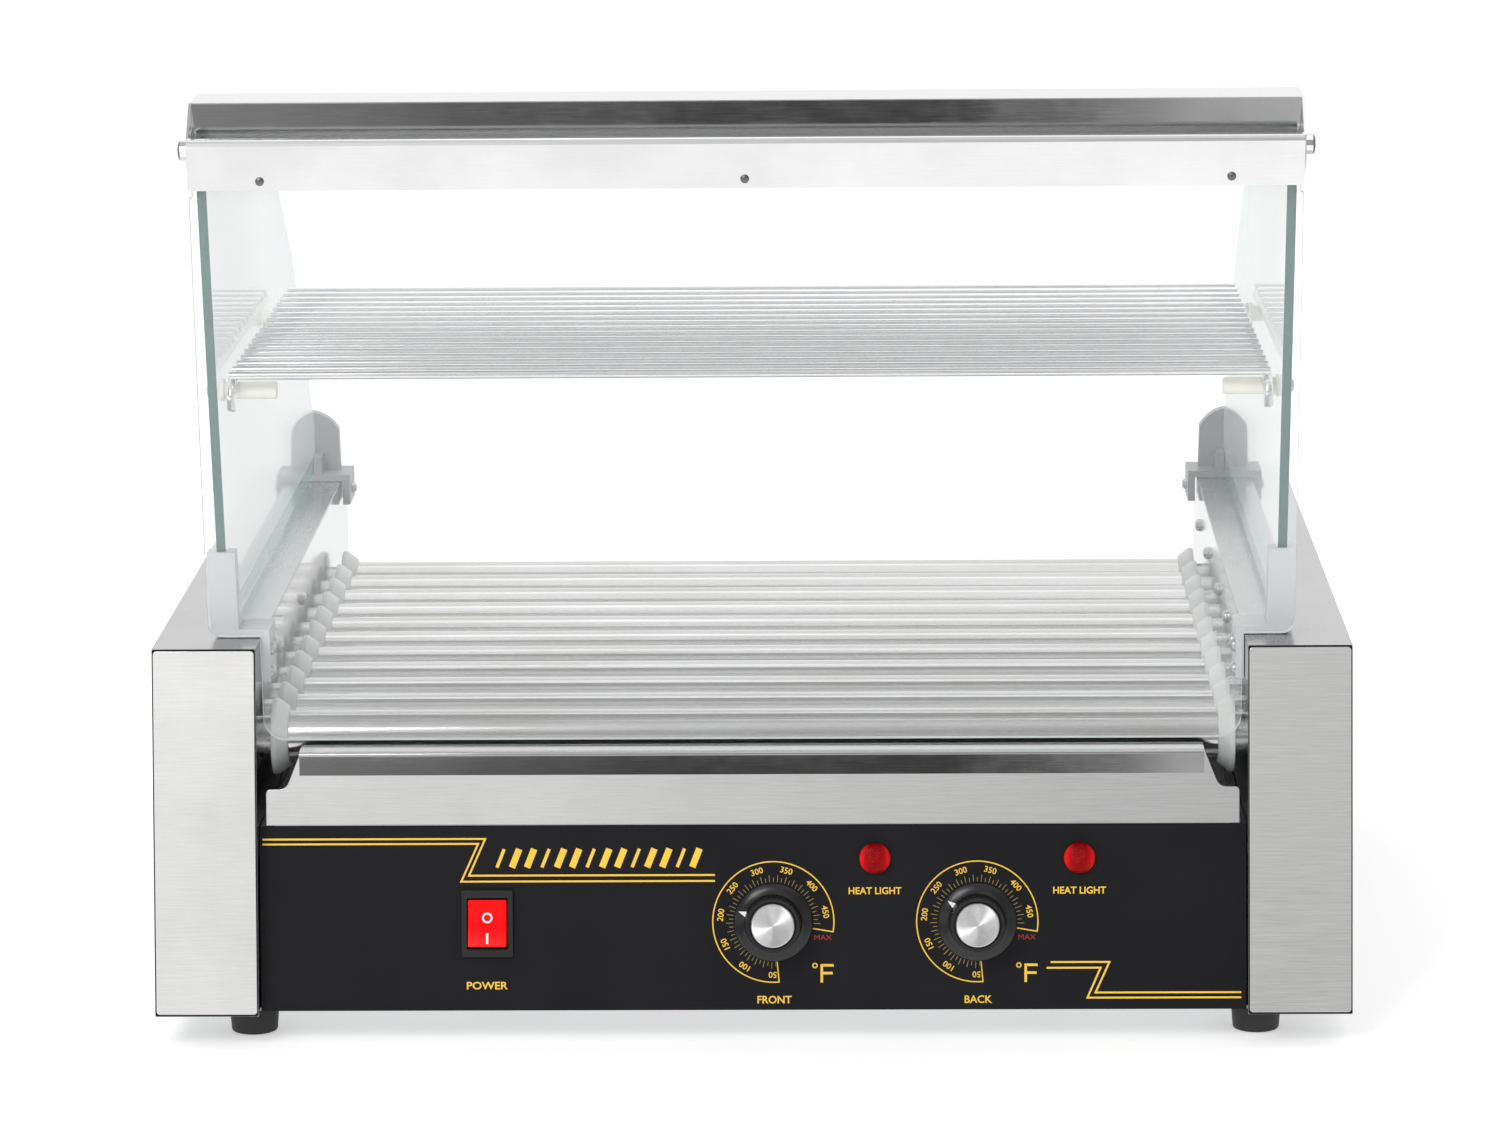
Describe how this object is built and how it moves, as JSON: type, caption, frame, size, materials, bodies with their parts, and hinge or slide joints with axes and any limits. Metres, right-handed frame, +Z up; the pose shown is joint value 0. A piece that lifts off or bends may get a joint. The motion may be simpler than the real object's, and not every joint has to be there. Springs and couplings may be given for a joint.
{
  "type": "hot dog roller grill",
  "caption": "Counter-top roller grill with driven heated rollers, slide-out drip tray, twin dials, rocker switch and a lift-off glass hood with a flip-up front and a bun rack.",
  "frame": {"origin": "under the middle of the whole grill, on the surface it stands on", "axes": "+X to the grill's right as seen from the front, +Y to the back, +Z up"},
  "size_m": [0.58, 0.534, 0.4592],
  "materials": {
    "brushed_stainless": "horizontally brushed stainless sheet",
    "galvanised_sheet": "dull galvanised sheet",
    "panel_black": "satin black printed panel",
    "roller_steel": "polished stainless tube with white end collars",
    "sprocket_steel": "oiled steel",
    "motor_housing": "dark painted gear case",
    "black_plastic": "satin moulded",
    "grey_plastic": "light grey moulded, satin",
    "white_ptfe": "waxy white",
    "red_plastic": "glossy moulded",
    "red_lens": "clear red lens with a moulded grid",
    "foot_rubber": "matt moulded rubber",
    "side_glass": "clear, green at the edges",
    "clear_panel": "clear, polished edges",
    "chrome_wire": "bright plated wire"
  },
  "bodies": {
    "housing": {"base_chassis": "galvanised_sheet", "tray_shelf": "galvanised_sheet", "control_panel": "panel_black", "left_side_cover": "brushed_stainless", "left_bearing_wall": "brushed_stainless", "front_left_foot": "foot_rubber", "rear_left_foot": "foot_rubber", "front_left_glass_bracket": "grey_plastic", "rear_left_glass_bracket": "grey_plastic", "right_side_cover": "brushed_stainless", "right_bearing_wall": "brushed_stainless", "front_right_foot": "foot_rubber", "rear_right_foot": "foot_rubber", "front_right_glass_bracket": "grey_plastic", "rear_right_glass_bracket": "grey_plastic", "gear_motor": "motor_housing", "drive_chain": "sprocket_steel", "front_thermostat": "grey_plastic", "back_thermostat": "grey_plastic", "front_heat_light": "red_lens", "back_heat_light": "red_lens", "switch_frame": "black_plastic", "cable_gland": "black_plastic"},
    "hood": {"top_cover": "brushed_stainless", "left_side_glass": "side_glass", "right_side_glass": "side_glass", "front_left_rack_pin": "white_ptfe", "front_right_rack_pin": "white_ptfe", "rear_left_rack_pin": "white_ptfe", "rear_right_rack_pin": "white_ptfe"},
    "front_door": {"door_panel": "clear_panel", "door_rail": "brushed_stainless"},
    "bun_rack": {"bun_rack": "chrome_wire"},
    "drip_tray": {"drip_tray": "brushed_stainless"},
    "front_knob": {"front_knob": "black_plastic"},
    "back_knob": {"back_knob": "black_plastic"},
    "power_rocker": {"power_rocker": "red_plastic"},
    "motor_sprocket": {"motor_sprocket": "sprocket_steel"},
    "roller_01": {"roller_01": "roller_steel", "sprocket_01": "sprocket_steel"},
    "roller_02": {"roller_02": "roller_steel", "sprocket_02": "sprocket_steel"},
    "roller_03": {"roller_03": "roller_steel", "sprocket_03": "sprocket_steel"},
    "roller_04": {"roller_04": "roller_steel", "sprocket_04": "sprocket_steel"},
    "roller_05": {"roller_05": "roller_steel", "sprocket_05": "sprocket_steel"},
    "roller_06": {"roller_06": "roller_steel", "sprocket_06": "sprocket_steel"},
    "roller_07": {"roller_07": "roller_steel", "sprocket_07": "sprocket_steel"},
    "roller_08": {"roller_08": "roller_steel", "sprocket_08": "sprocket_steel"},
    "roller_09": {"roller_09": "roller_steel", "sprocket_09": "sprocket_steel"},
    "roller_10": {"roller_10": "roller_steel", "sprocket_10": "sprocket_steel"},
    "roller_11": {"roller_11": "roller_steel", "sprocket_11": "sprocket_steel"}
  },
  "joints": [
    {"name": "hood_lift", "type": "slide", "parent": "housing", "child": "hood", "axis": [0, 0, 1], "range_m": [0, 0.15]},
    {"name": "door_hinge", "type": "hinge", "parent": "hood", "child": "front_door", "pos_m": [0, -0.24601, 0.4376], "axis": [-1, 0, 0], "range_deg": [0, 85]},
    {"name": "rack_lift", "type": "slide", "parent": "hood", "child": "bun_rack", "axis": [0, 0, 1], "range_m": [0, 0.05]},
    {"name": "tray_slide", "type": "slide", "parent": "housing", "child": "drip_tray", "axis": [0, -1, 0], "range_m": [0, 0.4]},
    {"name": "front_knob_turn", "type": "hinge", "parent": "housing", "child": "front_knob", "pos_m": [0.0101, -0.23848, 0.05885], "axis": [0, 0.9903, -0.1392], "range_deg": [-113, 171]},
    {"name": "back_knob_turn", "type": "hinge", "parent": "housing", "child": "back_knob", "pos_m": [0.109, -0.23848, 0.05885], "axis": [0, 0.9903, -0.1392], "range_deg": [-131, 153]},
    {"name": "rocker_tilt", "type": "hinge", "parent": "housing", "child": "power_rocker", "pos_m": [-0.1288, -0.23882, 0.0586], "axis": [1, 0, 0], "range_deg": [0, 14]},
    {"name": "roller_01_spin", "type": "hinge", "parent": "housing", "child": "roller_01", "pos_m": [0, -0.19501, 0.1424], "axis": [1, 0, 0], "continuous": true},
    {"name": "roller_02_spin", "type": "hinge", "parent": "housing", "child": "roller_02", "pos_m": [0, -0.15701, 0.1424], "axis": [1, 0, 0], "continuous": true},
    {"name": "roller_03_spin", "type": "hinge", "parent": "housing", "child": "roller_03", "pos_m": [0, -0.119, 0.1424], "axis": [1, 0, 0], "continuous": true},
    {"name": "roller_04_spin", "type": "hinge", "parent": "housing", "child": "roller_04", "pos_m": [0, -0.081, 0.1424], "axis": [1, 0, 0], "continuous": true},
    {"name": "roller_05_spin", "type": "hinge", "parent": "housing", "child": "roller_05", "pos_m": [0, -0.04301, 0.1424], "axis": [1, 0, 0], "continuous": true},
    {"name": "roller_06_spin", "type": "hinge", "parent": "housing", "child": "roller_06", "pos_m": [0, -0.005, 0.1424], "axis": [1, 0, 0], "continuous": true},
    {"name": "roller_07_spin", "type": "hinge", "parent": "housing", "child": "roller_07", "pos_m": [0, 0.03299, 0.1424], "axis": [1, 0, 0], "continuous": true},
    {"name": "roller_08_spin", "type": "hinge", "parent": "housing", "child": "roller_08", "pos_m": [0, 0.071, 0.1424], "axis": [1, 0, 0], "continuous": true},
    {"name": "roller_09_spin", "type": "hinge", "parent": "housing", "child": "roller_09", "pos_m": [0, 0.10899, 0.1424], "axis": [1, 0, 0], "continuous": true},
    {"name": "roller_10_spin", "type": "hinge", "parent": "housing", "child": "roller_10", "pos_m": [0, 0.14699, 0.1424], "axis": [1, 0, 0], "continuous": true},
    {"name": "roller_11_spin", "type": "hinge", "parent": "housing", "child": "roller_11", "pos_m": [0, 0.18499, 0.1424], "axis": [1, 0, 0], "continuous": true},
    {"name": "motor_sprocket_spin", "type": "hinge", "parent": "housing", "child": "motor_sprocket", "pos_m": [0.246, -0.028, 0.063], "axis": [1, 0, 0], "continuous": true}
  ],
  "couplings": [
    {"joint": "roller_02_spin", "follows": "roller_01_spin", "ratio": 1},
    {"joint": "roller_03_spin", "follows": "roller_01_spin", "ratio": 1},
    {"joint": "roller_04_spin", "follows": "roller_01_spin", "ratio": 1},
    {"joint": "roller_05_spin", "follows": "roller_01_spin", "ratio": 1},
    {"joint": "roller_06_spin", "follows": "roller_01_spin", "ratio": 1},
    {"joint": "roller_07_spin", "follows": "roller_01_spin", "ratio": 1},
    {"joint": "roller_08_spin", "follows": "roller_01_spin", "ratio": 1},
    {"joint": "roller_09_spin", "follows": "roller_01_spin", "ratio": 1},
    {"joint": "roller_10_spin", "follows": "roller_01_spin", "ratio": 1},
    {"joint": "roller_11_spin", "follows": "roller_01_spin", "ratio": 1},
    {"joint": "motor_sprocket_spin", "follows": "roller_01_spin", "ratio": 0.75}
  ]
}
